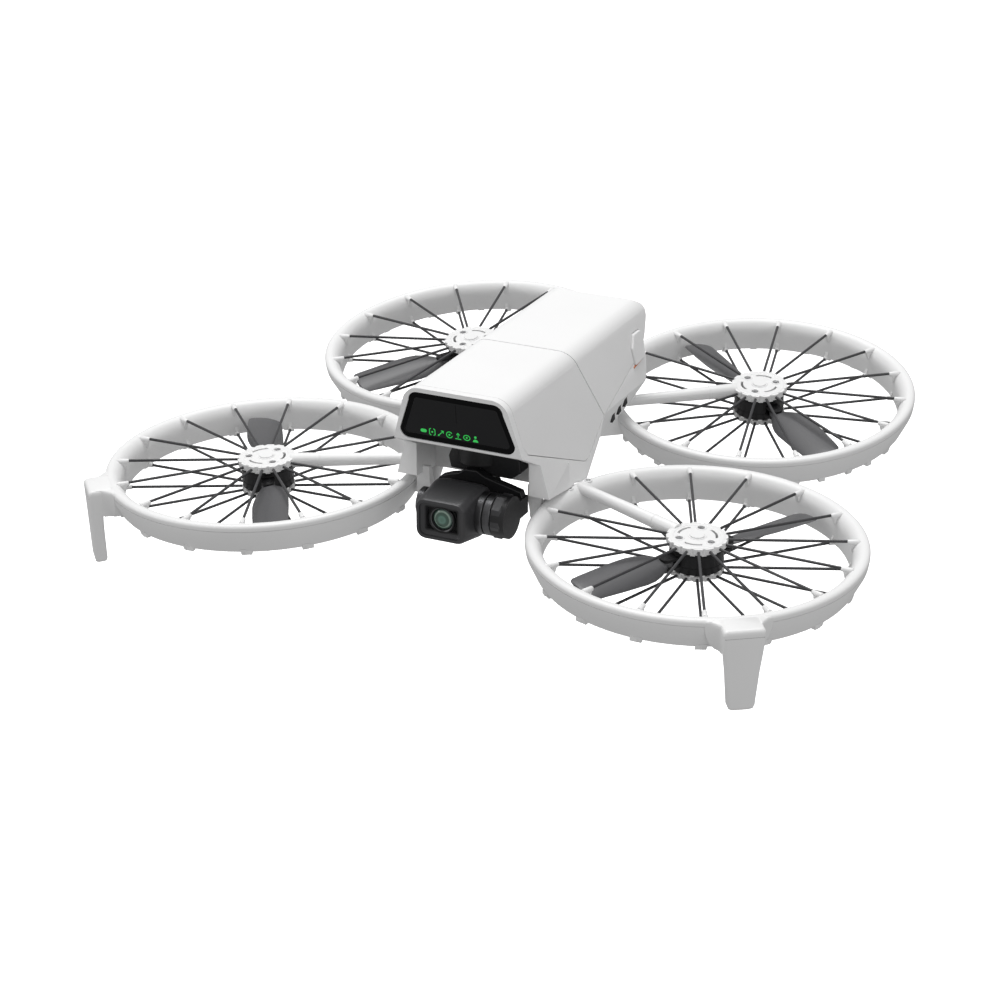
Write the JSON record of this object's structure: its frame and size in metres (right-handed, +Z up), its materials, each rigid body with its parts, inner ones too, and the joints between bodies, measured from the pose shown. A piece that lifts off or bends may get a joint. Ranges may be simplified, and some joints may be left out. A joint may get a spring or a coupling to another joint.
{
  "type": "folding camera drone",
  "caption": "Folding camera drone with full spoked propeller guards, a stabilised front camera, an icon display and a slide-out rear battery.",
  "frame": {"origin": "on the ground plane, under the middle of the unfolded drone's bounding box", "axes": "+X to the drone's left, -Y forward towards the camera, +Z up"},
  "size_m": [0.28, 0.2352, 0.075],
  "materials": {
    "shell_white": "satin moulded",
    "guard_white": "satin moulded",
    "spoke_grey": "satin",
    "winding": "enamelled wire",
    "motor_black": "satin",
    "blade_grey": "satin",
    "screw_steel": "machined",
    "display_black": "polished",
    "panel_dark": "matt",
    "cell_wrap": "matt film",
    "board_green": "solder mask",
    "fan_black": "moulded",
    "sensor_glass": "polished",
    "gimbal_charcoal": "satin",
    "gimbal_alloy": "satin coated",
    "lens_glass": "coated"
  },
  "bodies": {
    "body": {"lower_frame": "shell_white", "front_cover": "shell_white", "display_window": "display_black", "display_panel": "panel_dark", "mainboard": "board_green", "cooling_fan": "fan_black", "fold_pins": "screw_steel", "belly_sensors": "sensor_glass", "gimbal_mount": "gimbal_charcoal", "usb_port": "screw_steel"},
    "arm_fl_body": {"guard_ring_fl": "guard_white", "guard_cap_fl": "guard_white", "spokes_fl": "spoke_grey", "arm_fl": "guard_white", "hub_plate_fl": "guard_white", "stator_fl": "winding", "screws_fl": "screw_steel", "leg_left": "guard_white"},
    "rotor_fl": {"motor_bell_fl": "motor_black"},
    "blade_a_fl_body": {"blade_a_fl": "blade_grey"},
    "blade_b_fl_body": {"blade_b_fl": "blade_grey"},
    "arm_fr_body": {"guard_ring_fr": "guard_white", "guard_cap_fr": "guard_white", "spokes_fr": "spoke_grey", "arm_fr": "guard_white", "hub_plate_fr": "guard_white", "stator_fr": "winding", "screws_fr": "screw_steel", "leg_right": "guard_white"},
    "rotor_fr": {"motor_bell_fr": "motor_black"},
    "blade_a_fr_body": {"blade_a_fr": "blade_grey"},
    "blade_b_fr_body": {"blade_b_fr": "blade_grey"},
    "arm_rl_body": {"guard_ring_rl": "guard_white", "guard_cap_rl": "guard_white", "spokes_rl": "spoke_grey", "arm_rl": "guard_white", "hub_plate_rl": "guard_white", "stator_rl": "winding", "screws_rl": "screw_steel"},
    "rotor_rl": {"motor_bell_rl": "motor_black"},
    "blade_a_rl_body": {"blade_a_rl": "blade_grey"},
    "blade_b_rl_body": {"blade_b_rl": "blade_grey"},
    "arm_rr_body": {"guard_ring_rr": "guard_white", "guard_cap_rr": "guard_white", "spokes_rr": "spoke_grey", "arm_rr": "guard_white", "hub_plate_rr": "guard_white", "stator_rr": "winding", "screws_rr": "screw_steel"},
    "rotor_rr": {"motor_bell_rr": "motor_black"},
    "blade_a_rr_body": {"blade_a_rr": "blade_grey"},
    "blade_b_rr_body": {"blade_b_rr": "blade_grey"},
    "battery": {"battery_case": "shell_white", "battery_cells": "cell_wrap"},
    "button_left": {"battery_button_left": "shell_white"},
    "button_right": {"battery_button_right": "shell_white"},
    "gimbal_yaw": {"gimbal_yaw_arm": "gimbal_alloy"},
    "gimbal_roll": {"gimbal_roll_arm": "gimbal_alloy"},
    "camera": {"camera_body": "gimbal_charcoal", "camera_lens": "lens_glass"}
  },
  "joints": [
    {"name": "fold_front_left", "type": "hinge", "parent": "body", "child": "arm_fl_body", "pos_m": [0.02374, -0.04688, 0.02906], "axis": [0.2419, 0.9295, 0.2785], "range_deg": [0, 91.67]},
    {"name": "spin_front_left", "type": "hinge", "parent": "arm_fl_body", "child": "rotor_fl", "pos_m": [0.0825, -0.06028, 0.03187], "axis": [0.031, -0.0469, 0.9984], "continuous": true},
    {"name": "blade_a_front_left", "type": "hinge", "parent": "rotor_fl", "child": "blade_a_fl_body", "pos_m": [0.0761, -0.07136, 0.03155], "axis": [0.031, -0.0469, 0.9984], "range_deg": [-12, 12]},
    {"name": "blade_b_front_left", "type": "hinge", "parent": "rotor_fl", "child": "blade_b_fl_body", "pos_m": [0.0889, -0.0492, 0.03219], "axis": [0.031, -0.0469, 0.9984], "range_deg": [-12, 12]},
    {"name": "fold_front_right", "type": "hinge", "parent": "body", "child": "arm_fr_body", "pos_m": [-0.02374, -0.04688, 0.02906], "axis": [0.2419, -0.9295, -0.2785], "range_deg": [0, 91.67]},
    {"name": "spin_front_right", "type": "hinge", "parent": "arm_fr_body", "child": "rotor_fr", "pos_m": [-0.0825, -0.06028, 0.03187], "axis": [-0.031, -0.0469, 0.9984], "continuous": true},
    {"name": "blade_a_front_right", "type": "hinge", "parent": "rotor_fr", "child": "blade_a_fr_body", "pos_m": [-0.07591, -0.07125, 0.03156], "axis": [-0.031, -0.0469, 0.9984], "range_deg": [-12, 12]},
    {"name": "blade_b_front_right", "type": "hinge", "parent": "rotor_fr", "child": "blade_b_fr_body", "pos_m": [-0.08909, -0.04931, 0.03218], "axis": [-0.031, -0.0469, 0.9984], "range_deg": [-12, 12]},
    {"name": "fold_rear_left", "type": "hinge", "parent": "body", "child": "arm_rl_body", "pos_m": [0.01088, 0.01562, 0.03576], "axis": [-0.5166, 0.7537, -0.4062], "range_deg": [0, 108.3]},
    {"name": "spin_rear_left", "type": "hinge", "parent": "arm_rl_body", "child": "rotor_rl", "pos_m": [0.0597, 0.06028, 0.04137], "axis": [0.0367, -0.1259, 0.9914], "continuous": true},
    {"name": "blade_a_rear_left", "type": "hinge", "parent": "rotor_rl", "child": "blade_a_rl_body", "pos_m": [0.0499, 0.0684, 0.04276], "axis": [0.0367, -0.1259, 0.9914], "range_deg": [-12, 12]},
    {"name": "blade_b_rear_left", "type": "hinge", "parent": "rotor_rl", "child": "blade_b_rl_body", "pos_m": [0.0695, 0.05217, 0.03997], "axis": [0.0367, -0.1259, 0.9914], "range_deg": [-12, 12]},
    {"name": "fold_rear_right", "type": "hinge", "parent": "body", "child": "arm_rr_body", "pos_m": [-0.01088, 0.01562, 0.03576], "axis": [-0.5166, -0.7537, 0.4062], "range_deg": [0, 108.3]},
    {"name": "spin_rear_right", "type": "hinge", "parent": "arm_rr_body", "child": "rotor_rr", "pos_m": [-0.0597, 0.06028, 0.04137], "axis": [-0.0367, -0.1259, 0.9914], "continuous": true},
    {"name": "blade_a_rear_right", "type": "hinge", "parent": "rotor_rr", "child": "blade_a_rr_body", "pos_m": [-0.05148, 0.06997, 0.0429], "axis": [-0.0367, -0.1259, 0.9914], "range_deg": [-12, 12]},
    {"name": "blade_b_rear_right", "type": "hinge", "parent": "rotor_rr", "child": "blade_b_rr_body", "pos_m": [-0.06792, 0.05059, 0.03983], "axis": [-0.0367, -0.1259, 0.9914], "range_deg": [-12, 12]},
    {"name": "battery_slide", "type": "slide", "parent": "body", "child": "battery", "axis": [0, 0.9659, 0.2589], "range_m": [0, 0.062]},
    {"name": "catch_left", "type": "slide", "parent": "battery", "child": "button_left", "axis": [-1, 0, 0], "range_m": [0, 0.0016], "stiffness_N_per_m": 300, "springref_m": -0.001},
    {"name": "catch_right", "type": "slide", "parent": "battery", "child": "button_right", "axis": [1, 0, 0], "range_m": [0, 0.0016], "stiffness_N_per_m": 300, "springref_m": -0.001},
    {"name": "gimbal_yaw", "type": "hinge", "parent": "body", "child": "gimbal_yaw", "pos_m": [0, -0.05518, 0.04687], "axis": [0, 0, 1], "range_deg": [-6, 6]},
    {"name": "gimbal_roll", "type": "hinge", "parent": "gimbal_yaw", "child": "gimbal_roll", "pos_m": [0, -0.05838, 0.03287], "axis": [0, 1, 0], "range_deg": [-25, 25]},
    {"name": "gimbal_tilt", "type": "hinge", "parent": "gimbal_roll", "child": "camera", "pos_m": [0, -0.07258, 0.03287], "axis": [1, 0, 0], "range_deg": [-30, 90]}
  ]
}
